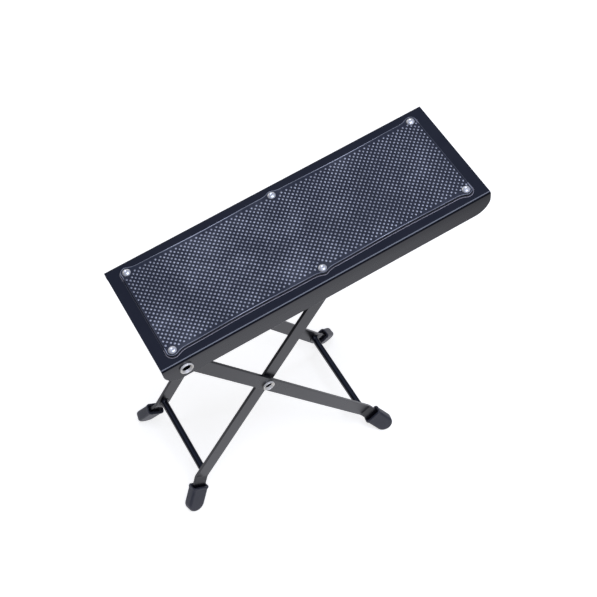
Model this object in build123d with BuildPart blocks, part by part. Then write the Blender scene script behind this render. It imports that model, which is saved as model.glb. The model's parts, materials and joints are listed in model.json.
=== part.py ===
"""Folding footstool: a sheet-steel tread on two pairs of crossed flat legs.

The low end of the tread is pinned to the outer legs. The inner legs cross them, and their
upper ends carry a rod that runs in a notched rack under the tread. The stool stands at its
tallest setting, with its feet on the plane Z = 0 and the tread rising towards +X.
"""

from build123d import *
from math import asin, atan2, cos, degrees, radians, sin
import os

# Tread, a channel of pressed sheet
tread_length = 250.0
tread_width = 90.0
tread_sheet = 1.5
flange_depth = 18.8
tread_bend_radius = 2.2
flange_corner_radius = 12.5

# Rubber pad and its rivets
pad_thickness = 2.0
pad_end_inset = 9.2
pad_side_inset = 8.0
pad_lobe_radius = 5.4
pad_blend_radius = 6.0
pad_side_rim_width = 1.1
pad_end_rim_width = 0.5
pad_boss_width = 1.6
pad_rim_height = 0.5
pad_edge_round = 0.35
pad_rivet_end_inset = 13.3
pad_rivet_side_inset = 10.0
pad_rivet_head_radius = 2.9
pad_rivet_head_height = 1.3
pad_rivet_shank_radius = 1.6
pad_rivet_tail_radius = 2.5
pad_rivet_tail_height = 0.9
pad_rivet_dimple_radius = 1.2
pad_rivet_dimple_depth = 0.35

# Legs, flat bars with a bend above each foot
leg_width = 11.0
leg_thickness = 2.3
leg_end_share = 0.49
leg_bend_radius = 7.0
foot_splay = 21.0
leg_to_flange = 3.2
leg_spacing = 3.6

# Linkage at the tallest setting
pivot_inset = 16.0
pivot_drop = 8.8
opening_angle = 60.3
pivot_to_cross = 100.2
cross_to_notch_rod = 109.4
notch_rod_drop = 10.6
pivot_to_outer_bend = 243.0
cross_to_inner_bend = 112.0
bend_to_foot_rod = 5.2
rod_radius = 2.75

# Rubber boots
boot_length = 22.0
boot_side_wall = 1.5
boot_face_wall = 2.95
boot_edge_round = 1.6
boot_gap_from_bend = 8.5
boot_pocket_depth = 14.0
boot_mouth_depth = 2.6
boot_mouth_gap = 1.5
boot_lip_length = 1.8
boot_lip_height = 0.45
boot_flat = 0.6

# Notched rack, a channel of pressed sheet under the tread
rack_width = 26.0
rack_sheet = 1.8
rack_bend_radius = 2.6
rack_corner_radius = 4.0
rack_end_margin = 9.0
rack_lip = 2.6
notch_count = 5
notch_pitch = 14.0
notch_roof_drop = 3.9
notch_flank_run = 3.0
notch_round_share = 0.9
stow_pocket_length = 20.0
fold_steps = 60

# Pivots
tread_pivot_head_radius = 4.9
tread_pivot_head_height = 2.0
tread_pivot_shank_radius = 2.9
tread_pivot_tail_radius = 4.3
tread_pivot_tail_height = 0.7
tread_spacer_radius = 4.6
cross_pivot_head_radius = 4.4
cross_pivot_head_height = 1.8
cross_pivot_shank_radius = 2.6
cross_pivot_tail_radius = 4.0
cross_pivot_tail_height = 1.2
cross_washer_radius = 5.0
tubular_bore_share = 0.72
tubular_bore_depth = 4.6
tubular_mouth_share = 0.74
tubular_mouth_depth = 1.3
head_round_share = 0.42

# Clearances
pivot_clearance = 0.08
seat_clearance = 0.05
face_play = 0.2
lane_clearance = 0.35
boot_clearance = 0.1

# Named overrun for every cut that has to pass right through
overrun = 2.0

# Distances of the faces of the flanges and legs from the middle of the stool
flange_inner_face = tread_width / 2 - tread_sheet
outer_leg_face = flange_inner_face - leg_to_flange
outer_leg_inner_face = outer_leg_face - leg_thickness
inner_leg_face = outer_leg_face - leg_spacing
inner_leg_inner_face = inner_leg_face - leg_thickness
outer_leg_centre = outer_leg_face - leg_thickness / 2
inner_leg_centre = inner_leg_face - leg_thickness / 2

# Boots, with a wall of rubber on each side of the leg
boot_width = leg_width + 2 * boot_side_wall
boot_thickness = leg_thickness + 2 * boot_face_wall

# Angle of the inner legs to the tread, from the depth of the notch rod
cross_depth = pivot_drop + pivot_to_cross * sin(radians(opening_angle))
inner_angle = degrees(asin((cross_depth - notch_rod_drop) / cross_to_notch_rod))
cross_along = pivot_inset + pivot_to_cross * cos(radians(opening_angle))

# Centres of the round ends of the boots, seen from the side in the frame of the tread
splay_run = cos(radians(foot_splay))
tip_distance = (boot_gap_from_bend + boot_length - boot_width / 2) * splay_run
outer_reach = pivot_to_outer_bend + tip_distance
inner_reach = cross_to_inner_bend + tip_distance
outer_tip_along = pivot_inset + outer_reach * cos(radians(opening_angle))
outer_tip_drop = pivot_drop + outer_reach * sin(radians(opening_angle))
inner_tip_along = cross_along - inner_reach * cos(radians(inner_angle))
inner_tip_drop = cross_depth + inner_reach * sin(radians(inner_angle))

# The floor touches both pairs of boots, which sets the slope and height of the tread
tread_tilt = atan2(outer_tip_drop - inner_tip_drop, outer_tip_along - inner_tip_along)
boot_tip_height = boot_width / 2 - boot_flat
tread_height = boot_tip_height + outer_tip_drop * cos(tread_tilt) - outer_tip_along * sin(tread_tilt)
corner_reach = (tread_length - flange_corner_radius) * cos(tread_tilt)
corner_reach += (flange_depth - flange_corner_radius) * sin(tread_tilt) + flange_corner_radius

tread = Plane(
    origin=(-corner_reach / 2, 0, tread_height),
    x_dir=(cos(tread_tilt), 0, sin(tread_tilt)),
    z_dir=(-sin(tread_tilt), 0, cos(tread_tilt)),
)
tread_up = Axis(tread.origin, tread.z_dir)


def tread_section(along):
    """Plane across the tread, with its local Y up from the tread's top face."""
    return Plane(origin=tread.from_local_coords((along, 0, 0)), x_dir=(0, 1, 0), z_dir=tread.x_dir)


def tread_side(along=0.0, drop=0.0):
    """Upright plane down the middle, with local X along the tread and local Y up from it."""
    return Plane(origin=tread.from_local_coords((along, 0, -drop)), x_dir=tread.x_dir, z_dir=(0, -1, 0))


def leg_side(along, drop, angle):
    """Upright plane down the middle, with local X along a leg towards its foot."""
    side = tread_side(along, drop)
    direction = side.x_dir * cos(radians(angle)) + side.y_dir * sin(radians(angle))
    return Plane(origin=side.origin, x_dir=direction, z_dir=side.z_dir)


def notch_rod_place(folded):
    """Distance along the tread and drop of the notch rod, with folded from 0 to 1."""
    outer = radians(opening_angle) * (1 - folded)
    inner = radians(inner_angle) * (1 - folded)
    along = pivot_inset + pivot_to_cross * cos(outer) + cross_to_notch_rod * cos(inner)
    drop = pivot_drop + pivot_to_cross * sin(outer) - cross_to_notch_rod * sin(inner)
    return along, drop


outer_side = leg_side(pivot_inset, pivot_drop, -opening_angle)
inner_side = leg_side(cross_along, cross_depth, 180 + inner_angle)
sides = {"left": 1, "right": -1}

os.makedirs("parts", exist_ok=True)


def save(piece, label):
    """Label a finished piece and write it under its own name."""
    piece.label = label
    export_step(piece, f"parts/{label}.step")


# Tread plate: top and two long flanges folded from one sheet
with BuildPart() as tread_plate:
    with BuildSketch(tread_section(0)):
        with BuildLine():
            mid_face = (tread_width - tread_sheet) / 2
            FilletPolyline(
                (-mid_face, -flange_depth),
                (-mid_face, -tread_sheet / 2),
                (mid_face, -tread_sheet / 2),
                (mid_face, -flange_depth),
                radius=tread_bend_radius - tread_sheet / 2,
            )
        trace(line_width=tread_sheet)
    extrude(amount=tread_length)
    flange_corners = tread_plate.edges().filter_by(Axis.Y).group_by(tread_up)[0]
    fillet(flange_corners, radius=flange_corner_radius)
    rivet_pitch = tread_length / 2 - pad_rivet_end_inset
    rivet_spacing = tread_width - 2 * pad_rivet_side_inset
    with BuildSketch(tread):
        with Locations((tread_length / 2, 0)):
            with GridLocations(rivet_pitch, rivet_spacing, 3, 2):
                Circle(pad_rivet_shank_radius + seat_clearance)
    extrude(amount=tread_sheet + overrun, both=True, mode=Mode.SUBTRACT)
    with BuildSketch(tread_side(pivot_inset, pivot_drop)):
        Circle(tread_pivot_shank_radius + seat_clearance)
    extrude(amount=tread_width / 2 + overrun, both=True, mode=Mode.SUBTRACT)
save(tread_plate.part, "tread_plate")


# Tread pad: moulded rubber mat with a lobe round each rivet and a sunk field inside its rim
with BuildSketch(tread) as pad_outline:
    with Locations((tread_length / 2, 0)):
        Rectangle(tread_length - 2 * pad_end_inset, tread_width - 2 * pad_side_inset)
        with GridLocations(rivet_pitch, rivet_spacing, 3, 2):
            Circle(pad_lobe_radius)
    fillet(pad_outline.vertices(), radius=pad_blend_radius)

with BuildPart() as tread_pad:
    add(pad_outline.sketch)
    extrude(amount=pad_thickness)
    pad_top_edges = tread_pad.faces().sort_by(tread_up)[-1].edges()
    fillet(pad_top_edges, radius=pad_edge_round)
    with BuildSketch(tread.offset(pad_thickness)):
        field_length = tread_length - 2 * (pad_end_inset + pad_end_rim_width)
        field_width = tread_width - 2 * (pad_side_inset + pad_side_rim_width)
        with Locations((tread_length / 2, 0)):
            Rectangle(field_length, field_width)
            with GridLocations(rivet_pitch, rivet_spacing, 3, 2):
                Circle(pad_rivet_head_radius + pad_boss_width, mode=Mode.SUBTRACT)
    extrude(amount=-pad_rim_height, mode=Mode.SUBTRACT)
    with BuildSketch(tread):
        with Locations((tread_length / 2, 0)):
            with GridLocations(rivet_pitch, rivet_spacing, 3, 2):
                Circle(pad_rivet_shank_radius + seat_clearance)
    extrude(amount=pad_thickness + overrun, mode=Mode.SUBTRACT)
save(tread_pad.part, "tread_pad")


# Pad rivets: domed heads on the pad, flat tails under the plate
with BuildPart() as pad_rivet:
    with BuildSketch(Plane.XZ):
        with BuildLine():
            dome_rim = (pad_rivet_head_radius, pad_thickness)
            dome_top = (0, pad_thickness + pad_rivet_head_height)
            tail_face = -tread_sheet - pad_rivet_tail_height
            Polyline(
                dome_top,
                (0, tail_face),
                (pad_rivet_tail_radius, tail_face),
                (pad_rivet_tail_radius, -tread_sheet),
                (pad_rivet_shank_radius, -tread_sheet),
                (pad_rivet_shank_radius, pad_thickness),
                dome_rim,
            )
            head_rise = pad_rivet_head_height
            sphere_radius = (pad_rivet_head_radius**2 + head_rise**2) / (2 * head_rise)
            RadiusArc(dome_rim, dome_top, -sphere_radius)
        make_face()
    revolve(axis=Axis.Z)
    with BuildSketch(Plane.XY.offset(pad_thickness + pad_rivet_head_height)):
        Circle(pad_rivet_dimple_radius)
    extrude(amount=-pad_rivet_dimple_depth, mode=Mode.SUBTRACT)

with BuildPart(tread) as pad_rivets:
    with Locations((tread_length / 2, 0)):
        with GridLocations(rivet_pitch, rivet_spacing, 3, 2):
            add(pad_rivet.part)
save(pad_rivets.part, "pad_rivets")


# Height rack: channel with a long slot in each wall, notched along its upper edge
rod_path = [notch_rod_place(step / fold_steps) for step in range(fold_steps + 1)]
rod_start_along = rod_path[0][0]
rod_stow_along = rod_path[-1][0]
lane_start = rod_start_along - rod_radius - lane_clearance
lane_end = rod_stow_along + rod_radius + lane_clearance
lane_roof = notch_rod_drop - rod_radius - lane_clearance
stow_roof = pivot_drop - rod_radius - lane_clearance
lane_floor = max(drop for _, drop in rod_path) + rod_radius + lane_clearance
rack_depth = lane_floor + rack_lip
rack_start = lane_start - rack_end_margin
rack_length = lane_end + rack_end_margin - rack_start
notch_half_width = rod_radius + lane_clearance
notch_places = [rod_start_along + step * notch_pitch for step in range(notch_count)]

slot_round = notch_half_width * notch_round_share

with BuildPart() as height_rack:
    with BuildSketch(tread_section(rack_start)):
        with BuildLine():
            wall_middle = (rack_width - rack_sheet) / 2
            FilletPolyline(
                (-wall_middle, -rack_depth),
                (-wall_middle, -tread_sheet - rack_sheet / 2),
                (wall_middle, -tread_sheet - rack_sheet / 2),
                (wall_middle, -rack_depth),
                radius=rack_bend_radius - rack_sheet / 2,
            )
        trace(line_width=rack_sheet)
    extrude(amount=rack_length)
    rack_corners = height_rack.edges().filter_by(Axis.Y).group_by(tread_up)[0]
    fillet(rack_corners, radius=rack_corner_radius)
    with BuildSketch(tread_side()):
        with Locations(((lane_start + lane_end) / 2, -(lane_roof + lane_floor) / 2)):
            RectangleRounded(lane_end - lane_start, lane_floor - lane_roof, slot_round)
        with Locations((lane_end - stow_pocket_length / 2, -(stow_roof + lane_floor) / 2)):
            RectangleRounded(stow_pocket_length, lane_floor - stow_roof, slot_round)
    extrude(amount=rack_width / 2 + overrun, both=True, mode=Mode.SUBTRACT)
    with BuildSketch(tread_side()) as rack_notches:
        for place in notch_places:
            with BuildLine():
                Polyline(
                    (place + notch_half_width, -notch_rod_drop),
                    (place + notch_half_width, -notch_roof_drop),
                    (place - notch_half_width, -notch_roof_drop),
                    (place - notch_half_width - notch_flank_run, -lane_roof),
                    (place - notch_half_width, -notch_rod_drop),
                    close=True,
                )
            make_face()
        fillet(rack_notches.vertices().group_by(tread_up)[-1], radius=slot_round)
    extrude(amount=rack_width / 2 + overrun, both=True, mode=Mode.SUBTRACT)
save(height_rack.part, "height_rack")


def flat_leg(side_plane, side, centre, start, bend, holes):
    """Flat bar from start to its foot, bent outwards at bend, with a round hole at each of holes."""
    edge_plane = Plane(side_plane.origin, x_dir=side_plane.x_dir, z_dir=side_plane.y_dir)
    foot_length = boot_gap_from_bend + boot_pocket_depth - boot_clearance
    foot_end = bend + foot_length * cos(radians(foot_splay))
    foot_rise = foot_length * sin(radians(foot_splay))
    with BuildPart() as leg:
        with BuildSketch(edge_plane):
            with BuildLine():
                FilletPolyline(
                    (start - leg_width / 2, side * centre),
                    (bend, side * centre),
                    (foot_end, side * (centre + foot_rise)),
                    radius=leg_bend_radius,
                )
            trace(line_width=leg_thickness)
        extrude(amount=leg_width / 2, both=True)
        fillet(leg.edges().filter_by(Axis.Y), radius=leg_width * leg_end_share)
        for place, hole_radius in holes:
            with BuildSketch(side_plane):
                with Locations((place, 0)):
                    Circle(hole_radius)
            extrude(amount=tread_width, both=True, mode=Mode.SUBTRACT)
    return leg.part


def cross_rod(side_plane, place, half_length):
    """Round rod from one leg's inner face to the other's."""
    with BuildPart() as rod:
        with BuildSketch(side_plane):
            with Locations((place, 0)):
                Circle(rod_radius)
        extrude(amount=half_length, both=True)
    return rod.part


def rubber_boot(side_plane, side, centre, bend):
    """Boot on the splayed end of a leg: round tip, lipped mouth, and a flat on the floor."""
    outward = Vector(0, side, 0)
    along = side_plane.x_dir * cos(radians(foot_splay)) + outward * sin(radians(foot_splay))
    facing = outward * cos(radians(foot_splay)) - side_plane.x_dir * sin(radians(foot_splay))
    bend_point = side_plane.from_local_coords((bend, 0, 0)) + outward * centre
    mouth_point = bend_point + along * boot_gap_from_bend
    face_plane = Plane(mouth_point, x_dir=along, z_dir=facing)
    mouth_plane = Plane(mouth_point, x_dir=facing, z_dir=along)
    with BuildPart() as boot:
        with BuildSketch(face_plane):
            with BuildLine():
                half_width = boot_width / 2
                straight = boot_length - half_width
                Polyline((straight, -half_width), (0, -half_width), (0, half_width), (straight, half_width))
                ThreePointArc((straight, half_width), (boot_length, 0), (straight, -half_width))
            make_face()
        extrude(amount=boot_thickness / 2, both=True)
        mouth_axis = Axis(mouth_point, along)
        mouth_edges = boot.edges().group_by(mouth_axis)[0]
        fillet(boot.edges() - mouth_edges, radius=boot_edge_round)
        with BuildSketch(mouth_plane):
            RectangleRounded(
                boot_thickness + 2 * boot_lip_height,
                boot_width + 2 * boot_lip_height,
                boot_edge_round + boot_lip_height,
            )
        extrude(amount=boot_lip_length)
        with BuildSketch(mouth_plane):
            Rectangle(leg_thickness + 2 * boot_clearance, leg_width + 2 * boot_clearance)
        extrude(amount=boot_pocket_depth, mode=Mode.SUBTRACT)
        with BuildSketch(mouth_plane):
            Rectangle(leg_thickness + 2 * boot_mouth_gap, leg_width + boot_mouth_gap)
        extrude(amount=boot_mouth_depth, mode=Mode.SUBTRACT)
        split(bisect_by=Plane.XY, keep=Keep.TOP)
    return boot.part


def tubular_rivet(side_plane, side, head_face, tail_face, head, shank_radius, tail):
    """Hollow rivet with a rolled round head outside and a flat tail inside.

    head and tail are each a radius and a height. The faces are distances from the middle.
    """
    head_radius, head_height = head
    tail_radius, tail_height = tail
    out_plane = Plane(side_plane.origin, x_dir=side_plane.x_dir, z_dir=(0, side, 0))
    with BuildPart() as rivet:
        with BuildSketch(out_plane.offset(head_face)):
            Circle(head_radius)
        extrude(amount=head_height)
        head_edge = rivet.edges().group_by(Axis.Y)[-1 if side > 0 else 0]
        fillet(head_edge, radius=head_height * head_round_share)
        with BuildSketch(out_plane.offset(tail_face)):
            Circle(shank_radius)
        extrude(amount=head_face - tail_face)
        with BuildSketch(out_plane.offset(tail_face)):
            Circle(tail_radius)
        extrude(amount=-tail_height)
        bore_radius = shank_radius * tubular_bore_share
        with BuildSketch(out_plane.offset(head_face + head_height - tubular_bore_depth)):
            Circle(bore_radius)
        extrude(amount=tubular_bore_depth + overrun, mode=Mode.SUBTRACT)
        with BuildSketch(out_plane.offset(head_face + head_height)):
            Circle(head_radius * tubular_mouth_share)
        with BuildSketch(out_plane.offset(head_face + head_height - tubular_mouth_depth)):
            Circle(bore_radius)
        loft(mode=Mode.SUBTRACT)
    return rivet.part


def spacer_ring(side_plane, side, from_face, to_face, outer_radius, hole_radius):
    """Flat ring between two faces, given as distances from the middle."""
    out_plane = Plane(side_plane.origin, x_dir=side_plane.x_dir, z_dir=(0, side, 0))
    with BuildPart() as ring:
        with BuildSketch(out_plane.offset(from_face)):
            Circle(outer_radius)
            Circle(hole_radius, mode=Mode.SUBTRACT)
        extrude(amount=to_face - from_face)
    return ring.part


# Cross rods: one above the bends of each pair of legs, and one that rides in the rack
outer_foot_rod_place = pivot_to_outer_bend - bend_to_foot_rod
inner_foot_rod_place = cross_to_inner_bend - bend_to_foot_rod
save(cross_rod(outer_side, outer_foot_rod_place, outer_leg_inner_face), "outer_foot_rod")
save(cross_rod(inner_side, inner_foot_rod_place, inner_leg_inner_face), "inner_foot_rod")
save(cross_rod(inner_side, -cross_to_notch_rod, inner_leg_inner_face), "notch_rod")

# Legs, boots, pivots and spacers, the same on each side
for name, side in sides.items():
    outer_holes = [
        (0, tread_pivot_shank_radius + pivot_clearance),
        (pivot_to_cross, cross_pivot_shank_radius + seat_clearance),
    ]
    inner_holes = [(0, cross_pivot_shank_radius + pivot_clearance)]
    outer_leg = flat_leg(outer_side, side, outer_leg_centre, 0, pivot_to_outer_bend, outer_holes)
    save(outer_leg, f"outer_leg_{name}")
    inner_leg = flat_leg(
        inner_side, side, inner_leg_centre, -cross_to_notch_rod, cross_to_inner_bend, inner_holes
    )
    save(inner_leg, f"inner_leg_{name}")
    save(rubber_boot(outer_side, side, outer_leg_centre, pivot_to_outer_bend), f"outer_boot_{name}")
    save(rubber_boot(inner_side, side, inner_leg_centre, cross_to_inner_bend), f"inner_boot_{name}")

    tread_pivot = tubular_rivet(
        outer_side,
        side,
        tread_width / 2,
        outer_leg_inner_face - face_play,
        (tread_pivot_head_radius, tread_pivot_head_height),
        tread_pivot_shank_radius,
        (tread_pivot_tail_radius, tread_pivot_tail_height),
    )
    save(tread_pivot, f"tread_pivot_rivet_{name}")
    tread_spacer = spacer_ring(
        outer_side,
        side,
        outer_leg_face + face_play,
        flange_inner_face,
        tread_spacer_radius,
        tread_pivot_shank_radius + seat_clearance,
    )
    save(tread_spacer, f"tread_pivot_spacer_{name}")

    cross_pivot = tubular_rivet(
        inner_side,
        side,
        outer_leg_face,
        inner_leg_inner_face - face_play,
        (cross_pivot_head_radius, cross_pivot_head_height),
        cross_pivot_shank_radius,
        (cross_pivot_tail_radius, cross_pivot_tail_height),
    )
    save(cross_pivot, f"cross_pivot_rivet_{name}")
    cross_washer = spacer_ring(
        inner_side,
        side,
        inner_leg_face + face_play,
        outer_leg_inner_face,
        cross_washer_radius,
        cross_pivot_shank_radius + seat_clearance,
    )
    save(cross_washer, f"cross_pivot_washer_{name}")

# The places and the ratio that describe the folding motion
print("tread slope", degrees(tread_tilt), "low end", tread.origin)
print("tread pivot", outer_side.origin, "cross pivot", inner_side.origin)
print("turn of the inner legs for each turn of the outer legs", inner_angle / opening_angle)
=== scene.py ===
"""A folding footstool: a studded rubber tread on two pairs of crossing steel legs.

Sizes are in millimetres, as a maker gives them, and a Place turns them into the model's metres.
Left is +Y and right is -Y. The tread rises towards +X.
"""

import json
import logging
import math
from dataclasses import dataclass, field, replace
from enum import Enum
from typing import Any, Callable, Optional, Sequence, Union

import bmesh
import bpy
from mathutils import Matrix, Vector


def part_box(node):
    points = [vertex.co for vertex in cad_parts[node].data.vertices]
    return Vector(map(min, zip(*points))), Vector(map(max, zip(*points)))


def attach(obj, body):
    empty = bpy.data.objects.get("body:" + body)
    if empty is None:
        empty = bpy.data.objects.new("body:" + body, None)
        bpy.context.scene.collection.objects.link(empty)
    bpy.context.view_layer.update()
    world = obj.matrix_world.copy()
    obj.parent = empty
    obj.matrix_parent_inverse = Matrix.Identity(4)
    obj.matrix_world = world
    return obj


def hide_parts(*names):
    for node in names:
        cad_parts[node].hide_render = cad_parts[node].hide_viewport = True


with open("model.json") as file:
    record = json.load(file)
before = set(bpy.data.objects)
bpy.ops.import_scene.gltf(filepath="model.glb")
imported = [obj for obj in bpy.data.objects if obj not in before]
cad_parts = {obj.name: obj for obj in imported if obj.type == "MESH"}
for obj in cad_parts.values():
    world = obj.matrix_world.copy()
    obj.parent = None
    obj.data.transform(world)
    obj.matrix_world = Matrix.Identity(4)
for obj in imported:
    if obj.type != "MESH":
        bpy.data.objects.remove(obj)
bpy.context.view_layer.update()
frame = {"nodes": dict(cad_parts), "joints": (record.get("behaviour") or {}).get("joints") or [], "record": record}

MM = 0.001
# How far the pad's sunk field lies above the sheet, in mm.
FIELD_RISE = 1.5
# In metres: points this close become one, and edges this short are dropped.
MERGED = 2e-6
SLIVER = 1e-7
Point2 = tuple[float, float]
Point3 = tuple[float, float, float]
Colour = tuple[float, float, float]
log = logging.getLogger("footstool")


class Side(Enum):
    """The two sides of the stool, by the sign of Y."""

    LEFT = 1
    RIGHT = -1

    @property
    def label(self) -> str:
        """The side's name as the nodes write it."""
        return self.name.lower()


class Body(Enum):
    """The three parts that move against each other."""

    TREAD = "tread"
    OUTER = "outer_legs"
    INNER = "inner_legs"


@dataclass(frozen=True)
class Place:
    """A right-handed set of axes in the model. Millimetres go in and metres come out."""

    origin: Vector
    along: Vector
    across: Vector
    up: Vector

    def at(self, along: float, across: float = 0.0, up: float = 0.0) -> Vector:
        """The point in metres at these distances in millimetres."""
        return self.origin + (self.along * along + self.across * across + self.up * up) * MM

    def facing(self, side: Side) -> "Place":
        """Axes at the same origin whose up axis points out of this side of the stool."""
        return Place(self.origin, self.along, self.up, self.across * side.value)

    def matrix(self) -> Matrix:
        """The matrix that carries a mesh in millimetres to this place in metres."""
        turn = Matrix((self.along, self.across, self.up)).transposed().to_4x4()
        return Matrix.Translation(self.origin) @ turn @ Matrix.Scale(MM, 4)


# A bench at the origin, where a piece is made in millimetres before it goes to its place.
BENCH = Place(Vector(), Vector((1 / MM, 0, 0)), Vector((0, 1 / MM, 0)), Vector((0, 0, 1 / MM)))


def tread_place() -> Place:
    """The middle of the tread's top face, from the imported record's tread mount.

    Returns:
        The place, with its along axis up the slope and its up axis off the face.
    """
    mount = next(m for m in frame["record"]["mounts"] if m["name"] == "tread_face")
    up = Vector(mount["axis"]).normalized()
    along = Vector((up.z, 0.0, -up.x))
    return Place(Vector(mount["pos_m"]) - up * FIELD_RISE * MM, along, Vector((0, 1, 0)), up)


def leg_place(pivot: Vector, further: Vector) -> Place:
    """The middle plane of a pair of legs.

    Args:
        pivot: the point that distances along the leg are counted from.
        further: a second point on the legs' line, nearer to the feet.

    Returns:
        The place, with its along axis towards the feet.
    """
    along = (further - pivot).normalized()
    across = Vector((0, 1, 0))
    return Place(pivot, along, across, along.cross(across))


def node_middle(node: str) -> Vector:
    """The middle of a node's box."""
    low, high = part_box(node)
    return (low + high) / 2


def linked(name: str, data: Any) -> bpy.types.Object:
    """Make an object of this data and link it to the scene.

    Args:
        name: the new object's name.
        data: its mesh, lamp or camera.

    Returns:
        The object, at the origin.
    """
    made = bpy.data.objects.new(name, data)
    bpy.context.scene.collection.objects.link(made)
    return made


def skin(
    name: str, rings: Sequence[Sequence[Vector]], holed: bool = False
) -> bpy.types.Object:
    """Join equal rings of points into one closed shell.

    Args:
        name: the new object's name.
        rings: the rings in order, each with the same number of points.
        holed: whether the last ring is joined to the first round a hole, with no caps.

    Returns:
        The object, with its faces outward.
    """
    mesh = bmesh.new()
    made = [[mesh.verts.new(point) for point in ring] for ring in rings]
    count = len(rings[0])
    for before, after in zip(made, made[1:] + made[:1] if holed else made[1:]):
        for i in range(count):
            j = (i + 1) % count
            mesh.faces.new((before[i], before[j], after[j], after[i]))
    if not holed:
        mesh.faces.new(made[0])
        mesh.faces.new(made[-1])
    return shell(name, mesh)


def shell(name: str, mesh: bmesh.types.BMesh) -> bpy.types.Object:
    """Merge a closed mesh's doubled points, turn its faces outward and link it as an object.

    Args:
        name: the new object's name.
        mesh: the working mesh, which is freed.

    Returns:
        The linked object, at the origin.
    """
    bmesh.ops.remove_doubles(mesh, verts=mesh.verts, dist=MERGED)
    bmesh.ops.dissolve_degenerate(mesh, edges=mesh.edges, dist=SLIVER)
    bmesh.ops.recalc_face_normals(mesh, faces=mesh.faces)
    data = bpy.data.meshes.new(name)
    mesh.to_mesh(data)
    mesh.free()
    data.shade_smooth()
    return linked(name, data)


def turned(
    name: str,
    profile: Sequence[Point2],
    place: Place,
    segments: int = 48,
    holed: bool = False,
) -> bpy.types.Object:
    """Turn a profile round a place's up axis.

    Args:
        name: the new object's name.
        profile: radius and height of each point in mm, from one end of the axis to the other,
            or once round a section that stands clear of the axis.
        place: where the axis stands.
        segments: points in each ring.
        holed: whether the profile is such a section.

    Returns:
        The closed shell.
    """
    angles = [math.tau * step / segments for step in range(segments)]
    rings = [
        [place.at(math.cos(angle) * radius, math.sin(angle) * radius, height) for angle in angles]
        for radius, height in profile
    ]
    return skin(name, rings, holed)


def arc(centre: Point2, radius: float, start: float, end: float, steps: int) -> list[Point2]:
    """Points along an arc, its last one left out.

    Args:
        centre: the arc's centre.
        radius: its radius.
        start: the angle of its first point, in degrees.
        end: the angle that it ends before, in degrees.
        steps: how many points.

    Returns:
        The points.
    """
    angles = [math.radians(start + (end - start) * step / steps) for step in range(steps)]
    return [(centre[0] + radius * math.cos(a), centre[1] + radius * math.sin(a)) for a in angles]


def joined(piece: bpy.types.Object, other: bpy.types.Object) -> bpy.types.Object:
    """Put another object's mesh into a piece, and remove the other object.

    Args:
        piece: the piece.
        other: the object that is used up.

    Returns:
        The piece.
    """
    mesh = bmesh.new()
    mesh.from_mesh(piece.data)
    mesh.from_mesh(other.data)
    mesh.to_mesh(piece.data)
    mesh.free()
    bpy.data.objects.remove(other)
    return piece


def soften(piece: bpy.types.Object, width: float, segments: int = 2, angle: float = 40.0) -> None:
    """Round a piece's sharp edges.

    Args:
        piece: the piece.
        width: the rounding in mm.
        segments: facets across it.
        angle: only edges that turn more than this are rounded, in degrees.
    """
    bevel = piece.modifiers.new("edges", "BEVEL")
    bevel.width = width * MM
    bevel.segments = segments
    bevel.limit_method = "ANGLE"
    bevel.angle_limit = math.radians(angle)
    bevel.use_clamp_overlap = False
    bevel.harden_normals = True
    settle(piece)


def even(piece: bpy.types.Object) -> None:
    """Shade a piece's flat faces flat and its roundings smooth.

    Args:
        piece: the piece.
    """
    weighted = piece.modifiers.new("even", "WEIGHTED_NORMAL")
    weighted.mode = "FACE_AREA"
    weighted.weight = 100
    settle(piece)


def settle(piece: bpy.types.Object) -> None:
    """Turn a piece and its modifiers into one plain mesh.

    Args:
        piece: the piece.
    """
    evaluated = piece.evaluated_get(bpy.context.evaluated_depsgraph_get())
    settled = bpy.data.meshes.new_from_object(evaluated)
    piece.modifiers.clear()
    settled.name = piece.name
    piece.data = settled


def drill(piece: bpy.types.Object, centre: Vector, radius: float, reach: float = 120.0) -> None:
    """Drill a round hole straight across a piece, from side to side of the stool.

    Args:
        piece: the piece.
        centre: a point on the hole's axis.
        radius: the hole's radius in mm.
        reach: how far the drill goes to each side of the point, in mm.
    """
    axis = Place(centre, Vector((0, 0, 1)), Vector((1, 0, 0)), Vector((0, 1, 0)))
    profile = [(0, -reach), (radius, -reach), (radius, reach), (0, reach)]
    cutter = turned("cutter", profile, axis)
    hole = piece.modifiers.new("hole", "BOOLEAN")
    hole.operation = "DIFFERENCE"
    hole.solver = "EXACT"
    hole.object = cutter
    settle(piece)
    bpy.data.objects.remove(cutter)


def merged_copy(node: str, name: str, flatness: float = 1.0) -> bpy.types.Object:
    """A copy of a node's mesh with its loose triangles merged into whole faces.

    Args:
        node: the node to copy.
        name: the copy's name.
        flatness: triangles that turn less than this become one face, in degrees.

    Returns:
        The copy, its flat faces whole.
    """
    mesh = bmesh.new()
    mesh.from_mesh(frame["nodes"][node].data)
    bmesh.ops.remove_doubles(mesh, verts=mesh.verts, dist=MERGED)
    limit = math.radians(flatness)
    bmesh.ops.dissolve_limit(mesh, angle_limit=limit, verts=mesh.verts, edges=mesh.edges)
    return shell(name, mesh)


Value = Union["Wire", float, int]
Operator = Callable[["Wire", Value], "Wire"]


def both_ways(operation: str) -> tuple[Operator, Operator]:
    """An operator and its reflected form. Each adds one Math node.

    Args:
        operation: the node's operation.

    Returns:
        The method with self first, and the one with the other value first.
    """

    def forward(self: "Wire", other: Value) -> "Wire":
        """Self first."""
        return self.sum(operation, self, other)

    def reflected(self: "Wire", other: Value) -> "Wire":
        """The other value first."""
        return self.sum(operation, other, self)

    return forward, reflected


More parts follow.
